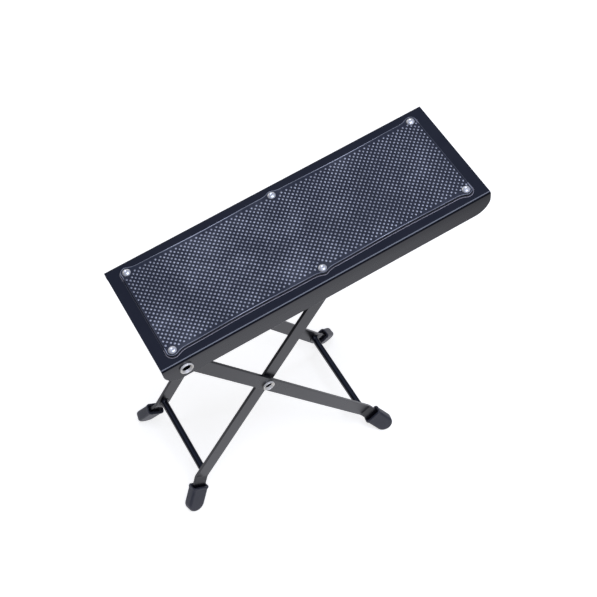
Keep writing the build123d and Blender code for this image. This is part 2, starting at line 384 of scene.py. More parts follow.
class Wire:
    """An output socket that can stand in a sum. Each sum adds its Math node."""

    __add__, __radd__ = both_ways("ADD")
    __sub__, __rsub__ = both_ways("SUBTRACT")
    __mul__, __rmul__ = both_ways("MULTIPLY")
    __truediv__, __rtruediv__ = both_ways("DIVIDE")
    __pow__, __rpow__ = both_ways("POWER")

    def __init__(self, tree: "Tree", socket: bpy.types.NodeSocket) -> None:
        """Hold the socket and the tree that it is in."""
        self.tree = tree
        self.socket = socket

    def sum(self, operation: str, *values: Value) -> "Wire":
        """One Math node.

        Args:
            operation: the node's operation.
            values: its inputs in order.

        Returns:
            Its output.
        """
        return self.tree.node("ShaderNodeMath", {"operation": operation}, dict(enumerate(values)))

    def __abs__(self) -> "Wire":
        """abs(self)."""
        return self.sum("ABSOLUTE", self)

    def above(self, level: Value) -> "Wire":
        """1 where self is over the level, else 0."""
        return self.sum("GREATER_THAN", self, level)

    def least(self, other: Value) -> "Wire":
        """The smaller of the two."""
        return self.sum("MINIMUM", self, other)

    def most(self, other: Value) -> "Wire":
        """The larger of the two."""
        return self.sum("MAXIMUM", self, other)

    def swing(self, width: float) -> "Wire":
        """Noise from 0 to 1 carried to this width round zero."""
        return (self - 0.5) * width

    def ramp(self, low: float, high: float, start: float = 0.0, end: float = 1.0) -> "Wire":
        """Self carried smoothly from one range to another.

        Args:
            low: the value that gives start.
            high: the value that gives end.
            start: the result at and below low.
            end: the result at and above high.

        Returns:
            The carried value.
        """
        values = {"Value": self, "From Min": low, "From Max": high, "To Min": start, "To Max": end}
        return self.tree.node("ShaderNodeMapRange", {"interpolation_type": "SMOOTHSTEP"}, values)


@dataclass(frozen=True)
class Grain:
    """A smooth noise: its grains' size in mm, its octaves, and how strong the finer ones are."""

    size: float
    octaves: float = 1.0
    roughness: float = 0.5


class Tree:
    """A node tree that is written as expressions."""

    def __init__(self, tree: bpy.types.NodeTree) -> None:
        """Start from an empty tree."""
        self.tree = tree
        tree.nodes.clear()

    def node(
        self,
        kind: str,
        settings: Optional[dict[str, Any]] = None,
        sockets: Optional[dict[Union[str, int], Any]] = None,
        out: Union[str, int] = 0,
    ) -> Wire:
        """Add any node.

        Args:
            kind: the node's type.
            settings: its own settings, set first.
            sockets: values or wires for its inputs, by name, identifier or number.
            out: the output that is handed back, by name or number.

        Returns:
            That output, or the node's first input where it has no output.
        """
        made = self.tree.nodes.new(kind)
        for key, setting in (settings or {}).items():
            setattr(made, key, setting)
        for key, value in (sockets or {}).items():
            for one in value if isinstance(value, list) else [value]:
                self._feed(self._find(made.inputs, key), one)
        return Wire(self, self._find(made.outputs, out) if made.outputs else made.inputs[0])

    def _feed(self, socket: bpy.types.NodeSocket, value: Any) -> None:
        """Link a wire to a socket, or set the socket's own value.

        Args:
            socket: the input.
            value: a wire, number, colour, vector or data block.
        """
        if isinstance(value, Wire):
            self.tree.links.new(value.socket, socket)
        elif socket.type == "RGBA" and len(value) == 3:
            socket.default_value = (*value, 1.0)
        else:
            socket.default_value = value

    @staticmethod
    def _find(sockets: Any, key: Union[str, int]) -> bpy.types.NodeSocket:
        """Find an enabled socket.

        Args:
            sockets: a node's inputs or outputs.
            key: its number, identifier or name.

        Returns:
            The socket.
        """
        if isinstance(key, int):
            return sockets[key]
        for socket in sockets:
            if socket.enabled and key in (socket.identifier, socket.name):
                return socket
        raise KeyError(f"no socket {key} among {[s.name for s in sockets]}")

    def part(self, where: Wire, axis: str) -> Wire:
        """One coordinate of a vector."""
        return self.node("ShaderNodeSeparateXYZ", {}, {0: where}, axis)

    def mix(self, factor: Value, first: Any, second: Any) -> Wire:
        """Mix two colours.

        Args:
            factor: how much of the second.
            first: a colour or wire.
            second: a colour or wire.

        Returns:
            The mixed colour.
        """
        sockets = {"Factor_Float": factor, "A_Color": first, "B_Color": second}
        return self.node("ShaderNodeMix", {"data_type": "RGBA"}, sockets, "Result_Color")

    def vector(self, operation: str, *values: Any, out: str = "Vector") -> Wire:
        """One Vector Math node.

        Args:
            operation: the node's operation.
            values: its inputs in order.
            out: the output that is handed back.

        Returns:
            That output.
        """
        sockets = dict(enumerate(values))
        return self.node("ShaderNodeVectorMath", {"operation": operation}, sockets, out)

    def noise(self, where: Wire, grain: Grain) -> Wire:
        """Smooth noise round 0.5.

        Args:
            where: the position wire.
            grain: its size and detail.

        Returns:
            The noise, from 0 to 1.
        """
        scale, rough = 1 / (grain.size * MM), grain.roughness
        sockets = {"Vector": where, "Scale": scale, "Detail": grain.octaves, "Roughness": rough}
        return self.node("ShaderNodeTexNoise", {}, sockets, "Fac")


class GroupTree(Tree):
    """A geometry tree with named inputs, which turns one mesh into another."""

    def __init__(self, name: str, kinds: dict[str, Sequence[str]]) -> None:
        """Start a tree.

        Args:
            name: the tree's name.
            kinds: the names of its inputs under each kind of socket, the mesh's first. A
                Finish input is added last.
        """
        super().__init__(bpy.data.node_groups.new(name, "GeometryNodeTree"))
        self.names: dict[str, str] = {}
        for kind, labels in (kinds | {"Material": ["Finish"]}).items():
            for label in labels:
                self.names[label] = self._socket(label, "INPUT", kind).identifier
        self._socket("Result", "OUTPUT", "Geometry")

    def _socket(self, name: str, end: str, kind: str) -> bpy.types.NodeTreeInterfaceSocket:
        """A new socket of the tree's own."""
        kind = f"NodeSocket{kind}"
        return self.tree.interface.new_socket(name, in_out=end, socket_type=kind)

    def given(self, name: str) -> Wire:
        """The named input."""
        return self.node("NodeGroupInput", out=name)

    def chance(self, low: float, high: float) -> Wire:
        """A number for each instance, from the Seed input.

        Args:
            low: the least.
            high: the most.

        Returns:
            The number.
        """
        sockets = {"Min_001": low, "Max_001": high, "Seed": self.given("Seed")}
        kind = {"data_type": "FLOAT"}
        return self.node("FunctionNodeRandomValue", kind, sockets, "Value_001")

    def close(self, geometry: Wire) -> None:
        """Make the instances real, dress everything in the Finish input and end the tree.

        Args:
            geometry: what was made.
        """
        real = self.node("GeometryNodeRealizeInstances", {}, {"Geometry": geometry})
        sockets = {"Geometry": real, "Material": self.given("Finish")}
        dressed = self.node("GeometryNodeSetMaterial", {}, sockets)
        self.node("NodeGroupOutput", {}, {"Result": dressed})

    def run(self, piece: bpy.types.Object, values: dict[str, Any]) -> None:
        """Run the tree on a piece and keep the outcome as its plain mesh.

        Args:
            piece: the piece.
            values: a value for each named input but the mesh.
        """
        modifier = piece.modifiers.new("group", "NODES")
        modifier.node_group = self.tree
        for name, value in values.items():
            modifier[self.names[name]] = value
        settle(piece)


class SurfaceTree(Tree):
    """A material's tree with its Principled shader."""

    def __init__(self, name: str) -> None:
        """Start a material."""
        self.material = bpy.data.materials.new(name)
        self.material.use_nodes = True
        super().__init__(self.material.node_tree)
        self.place = self.node("ShaderNodeTexCoord", out="Object")

    def bump(self, height: Wire, depth: float) -> Wire:
        """A bumped normal.

        Args:
            height: the height field.
            depth: how deep a step of 1 in the field is, in mm.

        Returns:
            The normal.
        """
        return self.node("ShaderNodeBump", {}, {"Height": height, "Distance": depth * MM})

    def finish(self, **sockets: Any) -> bpy.types.Material:
        """Feed the Principled shader and close the tree.

        Args:
            sockets: its inputs, with a low line for each space of their names.

        Returns:
            The finished material.
        """
        values = {key.replace("_", " "): value for key, value in sockets.items()}
        shader = self.node("ShaderNodeBsdfPrincipled", {}, values)
        self.node("ShaderNodeOutputMaterial", {}, {"Surface": shader})
        return self.material


@dataclass(frozen=True)
class Paint:
    """Baked paint on steel, with faint orange peel, handling marks and fine dust."""

    name: str
    colour: Colour
    roughness: float
    refraction: float = 1.5
    marks: Grain = Grain(28.0, 4.0, 0.6)
    mark_limits: Point2 = (0.35, 0.75)
    mark_share: float = 0.4
    mark_spread: float = 0.06
    peel: Grain = Grain(1.6)
    peel_depth: float = 0.004
    grain: Grain = Grain(0.35, 2.0, 0.55)
    grain_depth: float = 0.0015
    grain_spread: float = 0.05
    dust: float = 0.012
    specks: Grain = Grain(0.8)
    speck_limits: Point2 = (0.72, 0.80)
    speck_share: float = 0.5

    def material(self) -> bpy.types.Material:
        """Build the paint.

        Returns:
            The finished material.
        """
        tree = SurfaceTree(self.name)
        marks = tree.noise(tree.place, self.marks)
        grain = tree.noise(tree.place, self.grain)
        peel = tree.noise(tree.place, self.peel)
        specks = tree.noise(tree.place, self.specks).ramp(*self.speck_limits)
        lighter = tuple(channel + self.dust for channel in self.colour)
        marked = marks.ramp(*self.mark_limits, 0.0, self.mark_share)
        mottled = tree.mix(marked, self.colour, lighter)
        spread = marks.swing(self.mark_spread)
        return tree.finish(
            Base_Color=tree.mix(specks * self.speck_share, mottled, lighter),
            Roughness=self.roughness + spread + grain.swing(self.grain_spread),
            IOR=self.refraction,
            Normal=tree.bump(peel * self.peel_depth + grain * self.grain_depth, depth=1.0),
        )


@dataclass(frozen=True)
class PadRubber:
    """Moulded rubber whose stud tops are painted lighter and made smoother: a painted highlight, partly rubbed
    wear.

    Heights are in mm above the sheet. A pale colour on the bead at the pad's foot is a painted highlight: the
    light line along the mat's foot.
    """

    name: str
    colour: Colour
    # The stud tops' lighter colour: a painted highlight, partly rubbed wear.
    rubbed: Colour
    roughness: float
    top_roughness: float
    refraction: float = 1.55
    polish: float = 0.22
    polish_refraction: float = 1.8
    # The foot bead's pale colour and the heights that it covers: a painted highlight, the light line along the
    # mat's foot.
    dust: Colour = (0.44, 0.40, 0.42)
    dust_from: Point2 = (0.02, 0.05)
    dust_to: Point2 = (0.16, 0.26)
    chalk_gain: float = 1.3
    chalk_lift: float = 0.004
    chalk_share: float = 0.15
    chalk_limits: Point2 = (0.45, 0.8)
    clouds: Grain = Grain(34.0, 3.0, 0.55)
    cloud_spread: float = 0.12
    grain: Grain = Grain(0.45, 2.0, 0.6)
    grain_spread: float = 0.10
    grain_depth: float = 0.010
    rub_limits: Point2 = (0.3, 0.7)
    rub_least: float = 0.5
    field_half_length: float = 115.1
    field_half_width: float = 36.3
    end_rim_reach: float = 31.0
    # How much of the stud tops' painted highlight the side and end rims lose, and how much of the foot's painted
    # highlight line the ends lose.
    side_rim_dulled: float = 0.6
    end_rim_dulled: float = 0.9
    end_foot_dulled: float = 0.85
    rubbed_from: float = FIELD_RISE + 0.125
    rubbed_to: float = FIELD_RISE + 0.475

    def material(self) -> bpy.types.Material:
        """Build the rubber.

        Returns:
            The finished material.
        """
        tree = SurfaceTree(self.name)
        place = tread_place()
        offset = tree.vector("SUBTRACT", tree.place, tuple(place.origin))
        rise = tree.vector("DOT_PRODUCT", offset, tuple(place.up), out="Value") / MM
        along = abs(tree.vector("DOT_PRODUCT", offset, tuple(place.along), out="Value") / MM)
        across = abs(tree.part(tree.place, "Y") / MM)
        side_rim = across.above(self.field_half_width)
        end_rim = along.above(self.field_half_length) * (1 - across.above(self.end_rim_reach))
        # Painted highlight, partly rubbed wear: the stud tops are painted lighter, the rims less so.
        high = rise.ramp(self.rubbed_from, self.rubbed_to)
        top = high * (1 - side_rim * self.side_rim_dulled) * (1 - end_rim * self.end_rim_dulled)
        # Painted highlight: the low bead at the mat's foot is painted pale, less so at the ends.
        foot = rise.ramp(*self.dust_from) * rise.ramp(*self.dust_to, 1.0, 0.0)
        clouds = tree.noise(tree.place, self.clouds)
        grain = tree.noise(tree.place, self.grain)
        wear_and_highlight_mask = top * clouds.ramp(*self.rub_limits, self.rub_least, 1.0)
        rubbed = tree.mix(wear_and_highlight_mask, self.colour, self.rubbed)
        chalk = tuple(channel * self.chalk_gain + self.chalk_lift for channel in self.rubbed)
        chalked = clouds.ramp(*self.chalk_limits, 0.0, self.chalk_share) * grain
        colour = tree.mix(chalked, rubbed, chalk)
        rough = top.ramp(0.0, 1.0, self.roughness, self.top_roughness)
        return tree.finish(
            Base_Color=tree.mix(foot * (1 - end_rim * self.end_foot_dulled), colour, self.dust),
            Roughness=rough + (grain.swing(self.grain_spread) + clouds.swing(self.cloud_spread)),
            IOR=self.refraction,
            Coat_Weight=top,
            Coat_Roughness=self.polish,
            Coat_IOR=self.polish_refraction,
            Normal=tree.bump(grain, self.grain_depth),
        )


@dataclass(frozen=True)
class BootRubber:
    """Matt dipped rubber with a fine grain, scuffed where it meets the floor."""

    name: str
    colour: Colour
    scuffed: Colour
    roughness: float
    scuff_height: float = 3.5
    scuff_limits: Point2 = (0.4, 0.6)
    scuff_share: float = 0.7
    clouds: Grain = Grain(6.0, 3.0, 0.6)
    cloud_limits: Point2 = (0.3, 0.8)
    cloud_share: float = 0.35
    cloud_spread: float = 0.15
    cloud_relief: float = 0.6
    grain: Grain = Grain(0.4, 2.0, 0.6)
    grain_spread: float = 0.1
    grain_depth: float = 0.02

    def material(self) -> bpy.types.Material:
        """Build the rubber.

        Returns:
            The finished material.
        """
        tree = SurfaceTree(self.name)
        low = tree.part(tree.place, "Z") / MM
        clouds = tree.noise(tree.place, self.clouds)
        grain = tree.noise(tree.place, self.grain)
        scuff = (1 - low.ramp(0.0, self.scuff_height)) * clouds.ramp(*self.scuff_limits)
        worn = clouds.ramp(*self.cloud_limits, 0.0, self.cloud_share)
        mottled = tree.mix(worn, self.colour, self.scuffed)
        spread = clouds.swing(self.cloud_spread)
        return tree.finish(
            Base_Color=tree.mix(scuff * self.scuff_share, mottled, self.scuffed),
            Roughness=self.roughness + spread + grain.swing(self.grain_spread),
            Normal=tree.bump(grain + clouds * self.cloud_relief, self.grain_depth),
        )


@dataclass(frozen=True)
class Plating:
    """Plated steel with fine handling scratches and a cloudy bloom.

    Where a shaded span is given, the metal keeps its colour only further out from the stool's middle than the
    second distance and further in than the first; between them a dark, fully metallic colour is painted shade deep
    in a rivet's bore.
    """

    name: str
    colour: Colour
    bloom: Colour
    roughness: float
    metallic: float = 1.0
    clouds: Grain = Grain(3.0, 3.0, 0.6)
    bloom_limits: Point2 = (0.4, 0.8)
    bloom_spread: float = 0.10
    scratches: Grain = Grain(0.5, 3.0, 0.7)
    scratch_stretch: Point3 = (1.0, 0.35, 4.0)
    scratch_spread: float = 0.06
    scratch_depth: float = 0.0012
    # Painted shade deep in a rivet's bore: the span of distances out from the stool's middle, its dark colour and
    # the width of its soft edges.
    soiled: Optional[Point2] = None
    soil: Colour = (0.012, 0.014, 0.022)
    soil_edge: float = 0.05

    def material(self) -> bpy.types.Material:
        """Build the plating.

        Returns:
            The finished material.
        """
        tree = SurfaceTree(self.name)
        clouds = tree.noise(tree.place, self.clouds)
        stretched = tree.vector("MULTIPLY", tree.place, self.scratch_stretch)
        scratches = tree.noise(stretched, self.scratches)
        colour = tree.mix(clouds.ramp(*self.bloom_limits), self.colour, self.bloom)
        metallic: Value = self.metallic
        # Painted shade: a dark, fully metallic colour deep in the rivet's bore.
        if self.soiled:
            low, high = self.soiled
            edge = self.soil_edge
            out = abs(tree.part(tree.place, "Y")) / MM
            inner = out.ramp(low - 2 * edge, low, 1.0, 0.0)
            unshaded = out.ramp(high - edge, high + edge).most(inner)
            colour = tree.mix(unshaded, self.soil, colour)
            metallic = unshaded.ramp(0.0, 1.0, 1.0, self.metallic)
        spread = clouds.swing(self.bloom_spread)
        return tree.finish(
            Base_Color=colour,
            Metallic=metallic,
            Roughness=self.roughness + spread + scratches.swing(self.scratch_spread),
            Normal=tree.bump(scratches, self.scratch_depth),
        )


@dataclass(frozen=True)
class Coat:
    """A finish made ready: its material and the record's slot that it stands for."""

    slot: str
    material: bpy.types.Material

    def dress(self, piece: bpy.types.Object) -> None:
        """Give a piece this finish alone."""
        piece.data.materials.clear()
        piece.data.materials.append(self.material)


class Finishes:
    """Every finish on the stool."""

    def __init__(self) -> None:
        """Make each material once."""
        gloss = Paint("gloss black paint", colour=(0.0050, 0.0058, 0.0100), roughness=0.11)
        satin = Paint(
            "satin black paint",
            colour=(0.0045, 0.0042, 0.0065),
            roughness=0.29,
            refraction=1.58,
            mark_spread=0.08,
            peel=Grain(1.2),
            peel_depth=0.008,
            grain=Grain(0.3, 2.0, 0.55),
            grain_depth=0.006,
            dust=0.003,
        )
        pad = PadRubber(
            "pad rubber",
            colour=(0.0095, 0.0118, 0.0210),
            # The stud tops' painted highlight, partly rubbed wear.
            rubbed=(0.46, 0.475, 0.54),
            roughness=0.42,
            top_roughness=0.27,
        )
        boots = BootRubber(
            "boot rubber",
            colour=(0.030, 0.031, 0.042),
            scuffed=(0.060, 0.062, 0.075),
            roughness=0.50,
        )
        heads = Plating(
            "pad rivet nickel",
            colour=(0.80, 0.79, 0.76),
            bloom=(0.72, 0.70, 0.65),
            roughness=0.22,
            metallic=0.50,
        )
        pivot = Plating(
            "tread pivot nickel",
            colour=(0.99, 0.94, 0.84),
            bloom=(0.93, 0.88, 0.78),
            roughness=0.24,
            metallic=0.20,
            # The span of painted shade deep in the pivot rivets' bores.
            soiled=(38.4, 45.13),
        )
        cross = replace(pivot, name="cross pivot nickel", soiled=(34.35, 40.43))
        zinc = Plating(
            "zinc plated steel",
            colour=(0.62, 0.63, 0.65),
            bloom=(0.50, 0.51, 0.54),
            roughness=0.34,
            clouds=Grain(2.0, 3.0, 0.6),
            scratch_depth=0.003,
        )
        self.gloss = Coat("gloss_black_paint", gloss.material())
        self.satin = Coat("satin_black_paint", satin.material())
        self.pad = Coat("pad_rubber", pad.material())
        self.boots = Coat("boot_rubber", boots.material())
        self.heads = Coat("bright_nickel", heads.material())
        self.tread_pivot = Coat("bright_nickel", pivot.material())
        self.cross_pivot = Coat("bright_nickel", cross.material())
        self.zinc = Coat("zinc_plated_steel", zinc.material())


def place_piece(piece: bpy.types.Object, coat: Coat, body: Body, node: str) -> None:
    """Dress a finished piece, put it on its body and let it stand for its node.

    Args:
        piece: the finished piece.
        coat: its finish.
        body: the body that it moves with.
        node: the node that it replaces.
    """
    coat.dress(piece)
    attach(piece, body.value)
    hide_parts(node)
    log.info("%s: %d faces on %s", piece.name, len(piece.data.polygons), body.value)


@dataclass
class TreadPlate:
    """One sheet of steel, folded down along both long sides."""

    length: float = 250.0
    width: float = 90.0
    sheet: float = 1.5
    flange_depth: float = 18.8
    bend_radius: float = 1.8
    corner_radius: float = 12.5
    edge_round: float = 0.28
    bend_steps: int = 10
    corner_steps: int = 12
    pivot_hole: float = 2.98

    def stations(self) -> list[Point2]:
        """Where the sheet is cut across, from end to end.

        Returns:
            Distance along the sheet and depth of the flanges at each cut.
        """
        corner = []
        for step in range(self.corner_steps + 1):
            turn = math.radians(90 * step / self.corner_steps)
            depth = self.flange_depth - self.corner_radius * (1 - math.sin(turn))
            corner.append((self.corner_radius * (1 - math.cos(turn)), depth))
        half = self.length / 2
        low_end = [(along - half, depth) for along, depth in corner]
        high_end = [(half - along, depth) for along, depth in reversed(corner)]
        return low_end + high_end

    def section(self, depth: float) -> list[Point2]:
        """The folded sheet cut across, where the flanges hang this deep.

        Args:
            depth: the depth of both flanges.

        Returns:
            Distance across and height of each point, once round the sheet.
        """
        half = self.width / 2
        inside, bend = half - self.sheet, half - self.bend_radius
        middle = -(depth + self.bend_radius) / 2
        centre = (bend, -self.bend_radius)
        outer = [(half, -depth), (half, middle)]
        outer += arc(centre, self.bend_radius, 0, 90, self.bend_steps)
        outer += [(bend, 0.0), (bend / 2, 0.0), (0.0, 0.0)]
        inner = [(0.0, -self.sheet), (bend / 2, -self.sheet), (bend, -self.sheet)]
        inner += arc(centre, self.bend_radius - self.sheet, 90, 0, self.bend_steps)[1:]
        inner += [(inside, -self.bend_radius), (inside, middle), (inside, -depth)]
        right_outer = [(-across, height) for across, height in reversed(outer[:-1])]
        right_inner = [(-across, height) for across, height in reversed(inner[1:])]
        return outer + right_outer + right_inner + inner

    def build(self, place: Place, pivot: Vector, finishes: Finishes) -> None:
        """Fold the sheet, drill its pivot holes and paint it.

        Args:
            place: the middle of the tread's top face.
            pivot: a point on the outer legs' axis.
            finishes: the stool's finishes.
        """
        rings = []
        for along, depth in self.stations():
            cut = self.section(depth)
            rings.append([place.at(along, across, height) for across, height in cut])
        plate = skin("plate", rings)
        drill(plate, pivot, self.pivot_hole)
        soften(plate, self.edge_round)
        place_piece(plate, finishes.gloss, Body.TREAD, "tread_plate")


@dataclass
class TreadPad:
    """Moulded rubber mat: a lobe round each rivet, a rim, a sunk field and rows of studs."""

    length: float = 231.6
    width: float = 74.0
    thickness: float = 2.0
    lobe_radius: float = 4.25
    middle_radius: float = 3.8
    blend_radius: float = 6.0
    side_blend: float = 14.0
    rivet_along: float = 111.7
    rivet_across: float = 35.0
    side_bow: float = 0.7
    edge_round: float = 0.22
    rim_width: float = 0.48
    rim_break: float = 0.08
    wall_slope: float = 0.12
    wall_foot: Point2 = (0.1, 0.06)
    bead_gap: float = 0.36
    bead_width: float = 0.62
    bead_height: float = 0.24
    end_steps: int = 6
    lobe_steps: int = 26
    blend_steps: int = 8
    side_steps: int = 16
    middle_steps: int = 12
    edge_steps: int = 4
    bead_steps: int = 6
    stud_radius: float = 1.12
    stud_height: float = 0.5
    stud_sink: float = 0.02
    stud_least: float = 0.95
    stud_most: float = 1.04
    stud_facets: int = 10
    stud_rings: int = 3
    stud_pitch_along: float = 3.9
    stud_pitch_across: float = 3.71
    stud_columns: int = 59
    stud_rows: int = 19
    rivet_clearance: float = 3.7
    seed: int = 7

    def outer_quarter(self, inset: float) -> list[Point2]:
        """A quarter of the pad's outline, drawn in by an inset.

        Args:
            inset: how far inside the true outline, in mm.

        Returns:
            The points from the middle of the high end to the middle of the left side.
        """
        end, edge = self.length / 2, self.width / 2
        lobe = (self.rivet_along, self.rivet_across)
        reach = self.lobe_radius + self.blend_radius
        blend, round_off = self.side_blend + inset, self.lobe_radius - inset
        end_centre_along = end + self.blend_radius
        end_drop = math.sqrt(reach**2 - (end_centre_along - lobe[0]) ** 2)
        end_centre = (end_centre_along, lobe[1] - end_drop)
        side_rise = edge + self.side_blend - lobe[1]
        side_run = math.sqrt((self.lobe_radius + self.side_blend) ** 2 - side_rise**2)
        end_turn = math.degrees(math.atan2(end_drop, end_centre_along - lobe[0]))
        side_turn = math.degrees(math.atan2(side_rise, side_run))
        side_centre = (lobe[0] - side_run, edge + self.side_blend)
        middle_run = math.sqrt((self.middle_radius + self.side_blend) ** 2 - side_rise**2)
        middle_turn = math.degrees(math.atan2(side_rise, middle_run))
        middle_centre = (middle_run, edge + self.side_blend)
        cuts = range(self.end_steps)
        points = [(end - inset, end_centre[1] * step / self.end_steps) for step in cuts]
        end_blend = self.blend_radius + inset
        points += arc(end_centre, end_blend, 180, 180 - end_turn, self.end_steps)
        points += arc(lobe, round_off, -end_turn, 180 - side_turn, self.lobe_steps)
        points += arc(side_centre, blend, -side_turn, -90, self.blend_steps)
        start = side_centre[0]
        for step in range(self.side_steps):
            share = step / self.side_steps
            bow = self.side_bow * math.sin(math.pi * share) ** 2
            points.append((start + (middle_run - start) * share, edge - inset - bow))
        middle = self.middle_radius - inset
        points += arc(middle_centre, blend, -90, -180 + middle_turn, self.blend_steps)
        points += arc((0.0, lobe[1]), middle, middle_turn, 90, self.middle_steps)
        return points

    def layer(self, inset: float, height: float) -> list[Vector]:
        """The pad's whole outline as a ring of points.

        Args:
            inset: how far inside the true outline, in mm. Less than nothing is outside it.
            height: the ring's height above the sheet, in mm.

        Returns:
            The ring on the bench.
        """
        quarter = self.outer_quarter(inset)
        last = (0.0, self.rivet_across + self.middle_radius - inset)
        half = [*quarter, last] + [(-x, y) for x, y in reversed(quarter)]
        outline = half + [(x, -y) for x, y in reversed(half[1:-1])]
        return [BENCH.at(x, y, height) for x, y in outline]

    def mat(self) -> bpy.types.Object:
        """The mat without its studs.

        Returns:
            The closed mat, on the bench.
        """
        top, edge = self.thickness, self.edge_round
        layers = [(0.0, 0.0), (0.0, top - edge)]
        for step in range(1, self.edge_steps + 1):
            turn = math.radians(90 * step / self.edge_steps)
            layers.append((edge * (1 - math.cos(turn)), top - edge * (1 - math.sin(turn))))
        foot_run, foot_rise = self.wall_foot
        wall = self.rim_width + self.wall_slope
        layers += [
            (self.rim_width - self.rim_break, top),
            (self.rim_width, top - self.rim_break),
            (wall, FIELD_RISE + foot_rise),
            (wall + foot_run, FIELD_RISE),
        ]
        return skin("pad", [self.layer(inset, height) for inset, height in layers])

    def foot_bead(self) -> bpy.types.Object:
        """The low bead of sealant that runs round the foot of the mat.

        Returns:
            The closed bead, on the bench.
        """
        rings = []
        for step in range(self.bead_steps + 1):
            turn = math.pi * step / self.bead_steps
            out = self.bead_gap + self.bead_width / 2 * (1 - math.cos(turn))
            rings.append(self.layer(-out, self.bead_height * math.sin(turn)))
        return skin("bead", rings, holed=True)

    def dome(self, tree: GroupTree) -> Wire:
        """One stud, its foot sunk a little into the field.

        Args:
            tree: the stud field's tree.

        Returns:
            The dome's mesh.
        """
        radius, height = tree.given("Radius"), tree.given("Height")
        sizes = {
            "Vertices": self.stud_facets,
            "Side Segments": self.stud_rings,
            "Radius Top": 0.0,
            "Radius Bottom": radius,
            "Depth": height,
        }
        cone = tree.node("GeometryNodeMeshCone", {"fill_type": "NGON"}, sizes, "Mesh")
        flat = tree.vector("MULTIPLY", tree.node("GeometryNodeInputPosition"), (1.0, 1.0, 0.0))
        out = tree.vector("LENGTH", flat, out="Value")
        sphere = (radius * radius + height * height) / (2 * height)
        cap = (sphere * sphere - out * out) ** 0.5 - (sphere - height)
        lifted = tree.node("ShaderNodeCombineXYZ", {}, {"Z": cap - self.stud_sink})
        shaped = {"Geometry": cone, "Position": tree.vector("ADD", flat, lifted)}
        dome = tree.node("GeometryNodeSetPosition", {}, shaped)
        return tree.node("GeometryNodeSetShadeSmooth", {}, {"Geometry": dome})

    def stud_tree(self) -> GroupTree:
        """The nodes that set a dome on each point of two crossed grids.

        Returns:
            The finished tree.
        """
        lengths = ["Radius", "Height", "Pitch Along", "Pitch Across", "Rise"]
        lengths += ["Rivet Along", "Rivet Across", "Clearance"]
        kinds = {"Geometry": ["Mat"], "Float": lengths, "Int": ["Columns", "Rows", "Seed"]}
        tree = GroupTree("stud field", kinds)
        columns = tree.given("Columns")
        pitch_along, pitch_across = tree.given("Pitch Along"), tree.given("Pitch Across")
        grids = []
        # The second grid stands half a pitch further on, with its studs between the first's.
        for shift, fewer in ((-0.25, 0), (0.25, 1)):
            rows = tree.given("Rows") - fewer
            sizes = {
                "Size X": (columns - 1) * pitch_along,
                "Size Y": (rows - 1) * pitch_across,
                "Vertices X": columns,
                "Vertices Y": rows,
            }
            grid = tree.node("GeometryNodeMeshGrid", {}, sizes, "Mesh")
            offset = {"X": shift * pitch_along, "Z": tree.given("Rise")}
            moved = tree.node("ShaderNodeCombineXYZ", {}, offset)
            sockets = {"Geometry": grid, "Translation": moved}
            grids.append(tree.node("GeometryNodeTransform", {}, sockets))
        points = tree.node("GeometryNodeJoinGeometry", {}, {"Geometry": grids})
        spot = tree.node("GeometryNodeInputPosition")
        along = abs(tree.part(spot, "X"))
        across = abs(tree.part(spot, "Y")) - tree.given("Rivet Across")
        near = along.least(abs(along - tree.given("Rivet Along")))
        clearance = tree.given("Clearance")
        sockets = {
            "Points": points,
            "Selection": (near * near + across * across).above(clearance * clearance),
            "Instance": self.dome(tree),
            "Scale": tree.chance(self.stud_least, self.stud_most),
        }
        studs = tree.node("GeometryNodeInstanceOnPoints", {}, sockets)
        whole = {"Geometry": [tree.given("Mat"), studs]}
        tree.close(tree.node("GeometryNodeJoinGeometry", {}, whole))
        return tree

    def build(self, place: Place, finishes: Finishes) -> None:
        """Mould the pad.

        Args:
            place: the middle of the tread's top face.
            finishes: the stool's finishes.
        """
        pad = joined(self.mat(), self.foot_bead())
        inputs = {
            "Radius": self.stud_radius,
            "Height": self.stud_height,
            "Pitch Along": self.stud_pitch_along,
            "Pitch Across": self.stud_pitch_across,
            "Rise": FIELD_RISE,
            "Rivet Along": self.rivet_along,
            "Rivet Across": self.rivet_across,
            "Clearance": self.rivet_clearance,
            "Columns": self.stud_columns,
            "Rows": self.stud_rows,
            "Seed": self.seed,
            "Finish": finishes.pad.material,
        }
        self.stud_tree().run(pad, inputs)
        pad.data.transform(place.matrix())
        even(pad)
        place_piece(pad, finishes.pad, Body.TREAD, "tread_pad")


